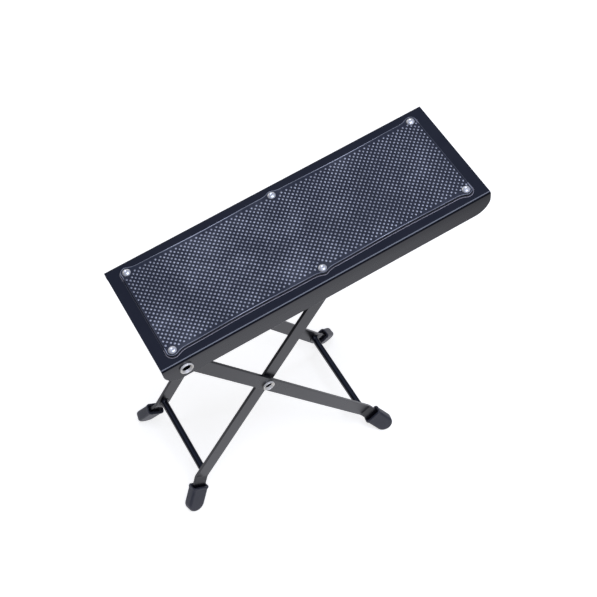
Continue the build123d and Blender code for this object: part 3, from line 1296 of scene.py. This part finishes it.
@dataclass
class PadRivets:
    """Six small domed rivets that hold the pad."""

    pitch_along: float = 111.7
    pitch_across: float = 70.0
    columns: int = 3
    rows: int = 2
    head_radius: float = 2.9
    head_height: float = 1.3
    head_base: float = 2.0
    dome_steps: int = 10
    skirt: float = 0.52
    shank_radius: float = 1.6
    tail_radius: float = 2.5
    tail_height: float = 0.9
    tail_edge: float = 0.25
    sheet: float = 1.5
    dimple_radius: float = 1.25
    dimple_depth: float = 0.3
    dimple_shape: tuple[Point2, ...] = ((0.0, 1.0), (0.72, 0.96), (0.90, 0.5), (0.97, 1 / 6))
    segments: int = 40
    seed: int = 3

    def profile(self) -> list[Point2]:
        """The rivet's outline, from the dimple's middle to the tail's.

        Returns:
            Radius and height of each point.
        """
        sphere = (self.head_radius**2 + self.head_height**2) / (2 * self.head_height)
        centre = self.head_base + self.head_height - sphere
        rim = centre + math.sqrt(sphere**2 - self.dimple_radius**2)
        points = [
            (self.dimple_radius * out, rim - self.dimple_depth * down)
            for out, down in self.dimple_shape
        ]
        for step in range(1, self.dome_steps + 1):
            run = (self.head_radius - self.dimple_radius) * step / self.dome_steps
            reach = self.dimple_radius + run
            points.append((reach, centre + math.sqrt(sphere**2 - reach**2)))
        under = -self.sheet
        tail = under - self.tail_height
        return points + [
            (self.head_radius, self.head_base - self.skirt),
            (self.shank_radius, self.head_base - self.skirt),
            (self.shank_radius, under),
            (self.tail_radius, under),
            (self.tail_radius, tail + self.tail_edge),
            (self.tail_radius - self.tail_edge, tail),
            (0.0, tail),
        ]

    def rivet_tree(self, rivet: bpy.types.Object) -> GroupTree:
        """The nodes that set one rivet on each point of a grid.

        Args:
            rivet: the rivet to repeat.

        Returns:
            The finished tree.
        """
        lengths = ["Pitch Along", "Pitch Across"]
        tree = GroupTree("pad rivets", {"Geometry": ["Bare"], "Float": lengths, "Int": ["Seed"]})
        sizes = {
            "Size X": (self.columns - 1) * tree.given("Pitch Along"),
            "Size Y": (self.rows - 1) * tree.given("Pitch Across"),
            "Vertices X": self.columns,
            "Vertices Y": self.rows,
        }
        spin = tree.node("ShaderNodeCombineXYZ", {}, {"Z": tree.chance(0.0, math.tau)})
        sockets = {
            "Points": tree.node("GeometryNodeMeshGrid", {}, sizes, "Mesh"),
            "Instance": tree.node("GeometryNodeObjectInfo", {}, {"Object": rivet}, "Geometry"),
            "Rotation": spin,
        }
        tree.close(tree.node("GeometryNodeInstanceOnPoints", {}, sockets))
        return tree

    def build(self, place: Place, finishes: Finishes) -> None:
        """Set the rivets.

        Args:
            place: the middle of the tread's top face.
            finishes: the stool's finishes.
        """
        rivet = turned("one pad rivet", self.profile(), BENCH, self.segments)
        rivets = linked("pad_rivet_set", bpy.data.meshes.new("pad_rivet_set"))
        inputs = {
            "Pitch Along": self.pitch_along,
            "Pitch Across": self.pitch_across,
            "Seed": self.seed,
            "Finish": finishes.heads.material,
        }
        self.rivet_tree(rivet).run(rivets, inputs)
        bpy.data.objects.remove(rivet)
        rivets.data.transform(place.matrix())
        even(rivets)
        place_piece(rivets, finishes.heads, Body.TREAD, "pad_rivets")


@dataclass
class HeightRack:
    """The notched channel under the tread, its cut edges rounded."""

    edge_round: float = 0.22

    def build(self, finishes: Finishes) -> None:
        """Round the rack's edges and paint it.

        Args:
            finishes: the stool's finishes.
        """
        rack = merged_copy("height_rack", "rack")
        soften(rack, self.edge_round)
        place_piece(rack, finishes.gloss, Body.TREAD, "height_rack")


@dataclass
class FlatLeg:
    """A flat steel bar with round ends, bent outwards above its foot."""

    label: str
    body: Body
    face: float
    start: float
    bend: float
    holes: tuple[Point2, ...]
    width: float = 11.0
    thickness: float = 2.3
    bend_radius: float = 7.0
    splay: float = 21.0
    foot_length: float = 22.4
    end_share: float = 0.49
    edge_round: float = 0.26
    edge_facets: int = 3
    end_steps: int = 10
    bend_steps: int = 8

    def stations(self) -> list[tuple[float, float, float, float]]:
        """Where the bar is cut across, from its upper end to its foot.

        Returns:
            Distance along, step outwards, lean in radians and half width of each cut.
        """
        turn = math.radians(self.splay)
        lead = self.bend_radius * math.tan(turn / 2)
        first = self.start - self.width / 2
        radius = self.width * self.end_share
        flat = self.width / 2 - radius
        round_end = []
        for step in range(self.end_steps + 1):
            angle = math.radians(90 * step / self.end_steps)
            round_end.append((radius * (1 - math.cos(angle)), flat + radius * math.sin(angle)))
        cuts = [(first + run, 0.0, 0.0, half) for run, half in round_end]
        for step in range(self.bend_steps + 1):
            angle = turn * step / self.bend_steps
            run = self.bend - lead + self.bend_radius * math.sin(angle)
            cuts.append((run, self.bend_radius * (1 - math.cos(angle)), angle, self.width / 2))
        for run, half in reversed(round_end):
            reach = self.foot_length - run
            along, out = reach * math.cos(turn), reach * math.sin(turn)
            cuts.append((self.bend + along, out, turn, half))
        return cuts

    def build(self, place: Place, side: Side, finishes: Finishes) -> None:
        """Cut and bend the bar and paint it.

        Args:
            place: the legs' middle plane.
            side: the side that it is on.
            finishes: the stool's finishes.
        """
        sign = side.value
        rings = []
        for along, out, turn, half in self.stations():
            ring = []
            for wide, thick in ((1, 1), (1, -1), (-1, -1), (-1, 1)):
                push = thick * self.thickness / 2
                across = self.face - self.thickness / 2 + out + push * math.cos(turn)
                ring.append(place.at(along - push * math.sin(turn), sign * across, wide * half))
            rings.append(ring)
        leg = skin(f"{self.label}_bar_{side.label}", rings)
        for run, radius in self.holes:
            drill(leg, place.at(run), radius)
        soften(leg, self.edge_round, self.edge_facets)
        place_piece(leg, finishes.satin, self.body, f"{self.label}_leg_{side.label}")


@dataclass
class FootBoot:
    """A rubber boot: lipped mouth, flat cheeks, round tip, pressed flat on the floor."""

    length: float = 22.0
    half_width: float = 7.0
    half_thickness: float = 4.1
    edge_round: float = 2.1
    lip_length: float = 1.8
    lip_height: float = 0.45
    lip_round: float = 0.35
    lip_break: Point2 = (0.08, 0.12)
    lip_foot: Point2 = (0.12, 0.06)
    lip_start: float = 0.1
    mouth_half_width: float = 6.2
    mouth_half_thickness: float = 2.6
    mouth_depth: float = 2.6
    mouth_edge: float = 0.5
    mouth_flare: Point2 = (0.1, 0.3)
    mouth_floor: float = 0.02
    gap_from_bend: float = 8.5
    round_steps: int = 6
    tip_steps: int = 12

    def ring(
        self, run: float, width: float, thick: float, edge: float, turn: float = 0.0
    ) -> list[Vector]:
        """One ring of the boot, in its own axes.

        Args:
            run: distance from the mouth of the ring, or of the tip's centre.
            width: half of its width.
            thick: half of its thickness.
            edge: the rounding of its edges.
            turn: how far round the tip it stands, in radians.

        Returns:
            The ring's points as run, width and thickness.
        """
        points = []
        for wide, high, order in ((1, 1, 1), (-1, 1, -1), (-1, -1, 1), (1, -1, -1)):
            for step in range(self.round_steps + 1):
                share = step if order > 0 else self.round_steps - step
                lean = math.radians(90 * share / self.round_steps)
                reach = width - edge * (1 - math.cos(lean))
                rise = thick - edge * (1 - math.sin(lean))
                across = wide * reach * math.cos(turn)
                points.append(Vector((run + reach * math.sin(turn), across, high * rise)))
        return points

    def rings(self) -> list[list[Vector]]:
        """Every ring, from the floor of the mouth round the lip to the tip.

        Returns:
            The rings in the boot's own axes.
        """
        wide, thick, edge = self.half_width, self.half_thickness, self.edge_round
        lip, soft, end = self.lip_height, self.lip_round, self.lip_length
        break_run, break_step = self.lip_break
        foot_run, foot_step = self.lip_foot
        start, centre = end + lip, self.length - wide
        mouth = (
            (self.mouth_depth, 0.0, 0.0),
            (soft, 0.0, 0.0),
            (break_run, break_step, self.mouth_flare[0]),
            (0.0, soft, self.mouth_flare[1]),
        )
        outside = (
            (0.0, lip - soft, lip - soft),
            (self.lip_start, lip - self.lip_start, lip - self.lip_start),
            (soft, lip, lip),
            (end - soft, lip, lip),
            (end - break_run, lip - break_step, lip),
            (end + foot_run, foot_step, 0.0),
            (start, 0.0, 0.0),
            ((start + centre) / 2, 0.0, 0.0),
            (centre, 0.0, 0.0),
        )
        made = [self.ring(self.mouth_depth, self.mouth_floor, self.mouth_floor, 0.0)]
        for run, grow, more in mouth:
            half = (self.mouth_half_width + grow, self.mouth_half_thickness + grow)
            made.append(self.ring(run, *half, self.mouth_edge + more))
        for run, grow, more in outside:
            made.append(self.ring(run, wide + grow, thick + grow, edge + more))
        for step in range(1, self.tip_steps + 1):
            turn = math.radians(90 * step / self.tip_steps)
            made.append(self.ring(centre, wide, thick, edge, turn))
        return made

    def build(
        self, name: str, place: Place, leg: FlatLeg, side: Side, finishes: Finishes
    ) -> None:
        """Mould the boot on its leg's foot.

        Args:
            name: the piece's name.
            place: the legs' middle plane.
            leg: the leg that it sits on.
            side: the side that it is on.
            finishes: the stool's finishes.
        """
        turn = math.radians(leg.splay)
        outward = place.across * side.value
        along = place.along * math.cos(turn) + outward * math.sin(turn)
        facing = outward * math.cos(turn) - place.along * math.sin(turn)
        bend = place.at(leg.bend, side.value * (leg.face - leg.thickness / 2))
        mouth = Place(bend + along * self.gap_from_bend * MM, along, place.up, facing)
        rings = []
        for ring in self.rings():
            points = [mouth.at(*point) for point in ring]
            for point in points:
                point.z = max(point.z, 0.0)
            rings.append(points)
        boot = skin(name, rings)
        even(boot)
        place_piece(boot, finishes.boots, leg.body, f"{leg.label}_boot_{side.label}")


@dataclass
class CrossRod:
    """A round rod between a pair of legs, with a weld bead at each end."""

    half_length: float
    radius: float = 2.75
    bead_radius: float = 4.2
    bead_length: float = 2.2
    bead_steps: int = 5
    ring_shares: Point2 = (0.6, 0.3)
    segments: int = 40

    def profile(self) -> list[Point2]:
        """The rod's outline with its beads.

        Returns:
            Radius and height of each point, from end to end.
        """
        half = [(0.0, -self.half_length)]
        for step in range(self.bead_steps + 1):
            share = step / self.bead_steps
            flare = (self.bead_radius - self.radius) * (1 - share) ** 2
            half.append((self.radius + flare, -self.half_length + self.bead_length * share))
        half += [(self.radius, -self.half_length * share) for share in self.ring_shares]
        return half + [(radius, -height) for radius, height in reversed(half)]

    def build(self, node: str, place: Place, body: Body, finishes: Finishes) -> None:
        """Cut the rod, weld it and paint it.

        Args:
            node: the node that it replaces.
            place: the legs' middle plane.
            body: the legs that it joins.
            finishes: the stool's finishes.
        """
        axis = Place(node_middle(node), place.along, place.up, place.along.cross(place.up))
        rod = turned(f"{node}_welded", self.profile(), axis, self.segments)
        even(rod)
        place_piece(rod, finishes.gloss, body, node)


@dataclass
class HollowRivet:
    """A tubular rivet: rolled rim, conical mouth, blind bore and flat tail."""

    label: str
    body: Body
    head_face: float
    tail_face: float
    head_radius: float
    head_height: float
    shank_radius: float
    tail_radius: float
    tail_height: float
    throat_share: float
    bore_share: float = 0.86
    bore_depth: float = 8.0
    bore_edge: float = 0.2
    mouth_share: float = 0.86
    throat_rise: float = 0.06
    throat_break: float = 0.1
    cone_rise: float = 0.15
    cone_inset: float = 0.05
    cone_shares: tuple[float, ...] = (0.0, 0.3, 0.6, 0.85)
    roll_steps: int = 8
    head_foot: tuple[Point2, ...] = ((0.03, 0.45), (0.25, 0.12), (0.45, 0.0))
    tail_edges: Point3 = (0.15, 0.2, 0.25)
    segments: int = 64

    def profile(self) -> list[Point2]:
        """The rivet's outline, from the bore's floor round the rim to the tail's middle.

        Returns:
            Radius of each point, and its distance out from the stool's middle.
        """
        foot, top = self.head_face, self.head_face + self.head_height
        floor = top - self.bore_depth
        bore = self.shank_radius * self.bore_share
        mouth = self.head_radius * self.mouth_share
        throat = self.head_radius * self.throat_share
        roll = (self.head_radius - mouth) / 2
        shelf, cone = foot + self.throat_rise, foot + self.cone_rise
        points = [(0.0, floor), (bore - self.bore_edge, floor), (bore, floor + self.bore_edge)]
        points += [(bore, foot - self.throat_break), (bore + self.throat_break, shelf)]
        points.append((throat - self.cone_inset, shelf))
        for share in self.cone_shares:
            height = cone + (top - roll - cone) * share
            points.append((throat + (mouth - throat) * share, height))
        for step in range(self.roll_steps + 1):
            turn = math.radians(180 - 180 * step / self.roll_steps)
            height = top - roll + roll * math.sin(turn)
            points.append((mouth + roll + roll * math.cos(turn), height))
        points += [(self.head_radius - inward, foot + rise) for inward, rise in self.head_foot]
        near, edge, far = self.tail_edges
        end = self.tail_face - self.tail_height
        return points + [
            (self.shank_radius, foot),
            (self.shank_radius, self.tail_face),
            (self.tail_radius - near, self.tail_face),
            (self.tail_radius, self.tail_face - edge),
            (self.tail_radius, end + edge),
            (self.tail_radius - far, end),
            (0.0, end),
        ]

    def build(self, place: Place, side: Side, coat: Coat) -> None:
        """Turn the rivet and plate it.

        Args:
            place: the pivot, in the legs' middle plane.
            side: the side that it is on.
            coat: its plating.
        """
        node = f"{self.label}_rivet_{side.label}"
        rivet = turned(f"{node}_turned", self.profile(), place.facing(side), self.segments)
        even(rivet)
        place_piece(rivet, coat, self.body, node)


@dataclass
class PlainRing:
    """A washer or spacer with its edges broken."""

    label: str
    body: Body
    from_face: float
    to_face: float
    outer_radius: float
    hole_radius: float
    edge: float = 0.15

    def build(self, place: Place, side: Side, finishes: Finishes) -> None:
        """Turn the ring.

        Args:
            place: the pivot, in the legs' middle plane.
            side: the side that it is on.
            finishes: the stool's finishes.
        """
        low, high, edge = self.from_face, self.to_face, self.edge
        hole, rim = self.hole_radius, self.outer_radius
        profile = [(hole, low), (rim - edge, low), (rim, low + edge), (rim, high - edge)]
        profile += [(rim - edge, high), (hole, high)]
        node = f"{self.label}_{side.label}"
        ring = turned(f"{node}_ring", profile, place.facing(side), holed=True)
        even(ring)
        place_piece(ring, finishes.zinc, self.body, node)


@dataclass
class LegSet:
    """Both pairs of legs with their boots, rods and pivots."""

    outer_face: float = 40.3
    inner_face: float = 36.7
    flange_inside: float = 43.5
    flange_outside: float = 45.0
    thickness: float = 2.3
    play: float = 0.2
    pivot_hole: float = 2.98
    cross_hole: float = 2.68
    outer_bend: float = 243.0
    inner_bend: float = 112.0
    boot: FootBoot = field(default_factory=FootBoot)

    def build(self, pivot: Vector, cross: Vector, finishes: Finishes) -> None:
        """Build the legs from the joints' places.

        Args:
            pivot: the outer legs' axis on the tread.
            cross: the axis where the legs cross.
            finishes: the stool's finishes.
        """
        notch = node_middle("notch_rod")
        outer_place = leg_place(pivot, cross)
        inner_place = replace(leg_place(notch, cross), origin=cross)
        notch_run = -(cross - notch).length / MM
        cross_run = (cross - pivot).length / MM
        holes = ((0.0, self.pivot_hole), (cross_run, self.cross_hole))
        outer = FlatLeg("outer", Body.OUTER, self.outer_face, 0.0, self.outer_bend, holes)
        holes = ((0.0, self.cross_hole),)
        inner = FlatLeg("inner", Body.INNER, self.inner_face, notch_run, self.inner_bend, holes)
        outer_inside = self.outer_face - self.thickness
        inner_inside = self.inner_face - self.thickness
        tread_pivot = HollowRivet(
            "tread_pivot",
            Body.TREAD,
            self.flange_outside,
            outer_inside - self.play,
            head_radius=4.7,
            head_height=1.75,
            shank_radius=2.9,
            tail_radius=4.3,
            tail_height=0.7,
            throat_share=0.68,
        )
        cross_pivot = HollowRivet(
            "cross_pivot",
            Body.OUTER,
            self.outer_face,
            inner_inside - self.play,
            head_radius=4.4,
            head_height=1.8,
            shank_radius=2.6,
            tail_radius=4.0,
            tail_height=1.2,
            throat_share=0.58,
        )
        spacer = PlainRing(
            "tread_pivot_spacer",
            Body.TREAD,
            self.outer_face + self.play,
            self.flange_inside,
            outer_radius=4.6,
            hole_radius=2.95,
        )
        washer = PlainRing(
            "cross_pivot_washer",
            Body.OUTER,
            self.inner_face + self.play,
            outer_inside,
            outer_radius=5.0,
            hole_radius=2.65,
        )
        for side in Side:
            outer.build(outer_place, side, finishes)
            inner.build(inner_place, side, finishes)
            self.boot.build(f"outer_foot_boot_{side.label}", outer_place, outer, side, finishes)
            self.boot.build(f"inner_foot_boot_{side.label}", inner_place, inner, side, finishes)
            tread_pivot.build(outer_place, side, finishes.tread_pivot)
            spacer.build(outer_place, side, finishes)
            cross_pivot.build(inner_place, side, finishes.cross_pivot)
            washer.build(inner_place, side, finishes)
        CrossRod(outer_inside).build("outer_foot_rod", outer_place, Body.OUTER, finishes)
        CrossRod(inner_inside).build("inner_foot_rod", inner_place, Body.INNER, finishes)
        CrossRod(inner_inside).build("notch_rod", inner_place, Body.INNER, finishes)


@dataclass(frozen=True)
class Lamp:
    """A soft box: where it hangs, its size, and how bright its face is."""

    name: str
    place: Point2
    height: float
    size: Point2
    brightness: float
    colour: Colour

    def hang(self, target: Vector) -> None:
        """Hang the lamp and aim it.

        Args:
            target: the point that it faces.
        """
        light = bpy.data.lights.new(self.name, "AREA")
        light.shape = "RECTANGLE"
        light.size, light.size_y = self.size
        light.energy = self.brightness * math.pi * self.size[0] * self.size[1]
        light.color = self.colour
        lamp = linked(self.name, light)
        lamp.location = (*self.place, self.height)
        lamp.rotation_euler = (target - lamp.location).to_track_quat("-Z", "Y").to_euler()
        lamp.visible_camera = False


@dataclass
class Studio:
    """Pale floor, soft light and the camera."""

    floor_half: float = 12.0
    floor_shade: Colour = (0.75, 0.72, 0.655)
    floor_glow: float = 0.70
    glow_radii: Point2 = (0.32, 2.1)
    mirrored: Colour = (0.99, 1.0, 1.08)
    mirrored_radii: Point2 = (0.08, 0.66)
    mirrored_far: float = 0.05
    backdrop: Colour = (1.0, 1.0, 1.0)
    dark: Colour = (0.030, 0.034, 0.060)
    ceiling: Colour = (0.30, 0.35, 0.56)
    ceiling_from: Point2 = (0.35, 0.85)
    back_wall: Colour = (1.15, 1.12, 1.10)
    wall_from: Point2 = (0.58, 0.85)
    wall_top: Point2 = (0.15, 0.5)
    ambient: Colour = (0.26, 0.27, 0.30)
    target: Point3 = (0.0, 0.0, 0.18)
    lens: float = 74.914
    sensor: float = 36.0
    clip: Point2 = (0.05, 60.0)
    location: Point3 = (-0.309933, -0.443689, 0.869402)
    right: Point3 = (0.86854, -0.48862, 0.08304)
    up: Point3 = (0.34723, 0.71945, 0.60152)

    def floor(self) -> None:
        """Lay the floor: plain white to the camera, with the stool's shadow on it."""
        mesh = bmesh.new()
        bmesh.ops.create_grid(mesh, x_segments=4, y_segments=4, size=self.floor_half)
        data = bpy.data.meshes.new("floor")
        mesh.to_mesh(data)
        mesh.free()
        material = bpy.data.materials.new("pale floor")
        material.use_nodes = True
        tree = Tree(material.node_tree)
        position = tree.node("ShaderNodeTexCoord", out="Object")
        distance = tree.vector("LENGTH", position, out="Value")
        matt = tree.node("ShaderNodeBsdfDiffuse", {}, {"Color": self.floor_shade})
        spread = distance.ramp(*self.glow_radii, self.floor_glow, 1.0)
        glow = tree.node("ShaderNodeEmission", {}, {"Strength": self.ray(tree, "Camera") * spread})
        lit = tree.node("ShaderNodeAddShader", {}, {0: matt, 1: glow})
        reach = distance.ramp(*self.mirrored_radii, 1.0, self.mirrored_far)
        mirrored = tree.node("ShaderNodeEmission", {}, {"Color": self.mirrored, "Strength": reach})
        glossy = self.ray(tree, "Glossy").most(self.ray(tree, "Transmission"))
        seen = tree.node("ShaderNodeMixShader", {}, {0: glossy, 1: lit, 2: mirrored})
        tree.node("ShaderNodeOutputMaterial", {}, {"Surface": seen})
        data.materials.append(material)
        linked("floor", data)

    @staticmethod
    def ray(tree: Tree, kind: str) -> Wire:
        """1 for a ray of this kind, else 0."""
        return tree.node("ShaderNodeLightPath", out=f"Is {kind} Ray")

    def world(self) -> None:
        """White behind the stool, a dim cool room in its reflections, soft light all round."""
        world = bpy.data.worlds.new("studio")
        world.use_nodes = True
        bpy.context.scene.world = world
        tree = Tree(world.node_tree)
        direction = tree.node("ShaderNodeTexCoord", out="Generated")
        height, back = tree.part(direction, "Z"), tree.part(direction, "Y")
        room = tree.mix(height.ramp(*self.ceiling_from), self.dark, self.ceiling)
        wall = back.ramp(*self.wall_from) * (1 - height.ramp(*self.wall_top))
        room = tree.mix(wall, room, self.back_wall)
        lit = tree.mix(self.ray(tree, "Glossy"), self.ambient, room)
        shown = tree.mix(self.ray(tree, "Camera"), lit, self.backdrop)
        background = tree.node("ShaderNodeBackground", {}, {"Color": shown})
        tree.node("ShaderNodeOutputWorld", {}, {"Surface": background})

    def lamps(self) -> None:
        """Hang the soft box."""
        box = Lamp(
            "top box",
            place=(-0.08, -0.32),
            height=1.68,
            size=(1.0, 1.14),
            brightness=5.8,
            colour=(0.70, 0.77, 1.0),
        )
        box.hang(Vector(self.target))

    def camera(self) -> None:
        """Set the camera at the photograph's angle."""
        data = bpy.data.cameras.new("camera")
        data.lens = self.lens
        data.sensor_width = self.sensor
        data.clip_start, data.clip_end = self.clip
        camera = linked("camera", data)
        right, up = Vector(self.right).normalized(), Vector(self.up)
        up = (up - right * up.dot(right)).normalized()
        turn = Matrix((right, up, right.cross(up))).transposed().to_4x4()
        camera.matrix_world = Matrix.Translation(self.location) @ turn
        bpy.context.scene.camera = camera

    def build(self) -> None:
        """Set up everything round the stool."""
        self.camera()
        self.floor()
        self.world()
        self.lamps()
        bpy.context.scene.view_settings.view_transform = "Standard"


def main() -> None:
    """Build the studio and the stool."""
    logging.basicConfig(level=logging.INFO, format="%(name)s: %(message)s")
    Studio().build()
    finishes = Finishes()
    place = tread_place()
    joints = {joint["name"]: Vector(joint["pos_m"]) for joint in frame["joints"]}
    TreadPlate().build(place, joints["leg_fold"], finishes)
    TreadPad().build(place, finishes)
    PadRivets().build(place, finishes)
    HeightRack().build(finishes)
    LegSet().build(joints["leg_fold"], joints["cross_pivot"], finishes)


if __name__ == "__main__":
    main()
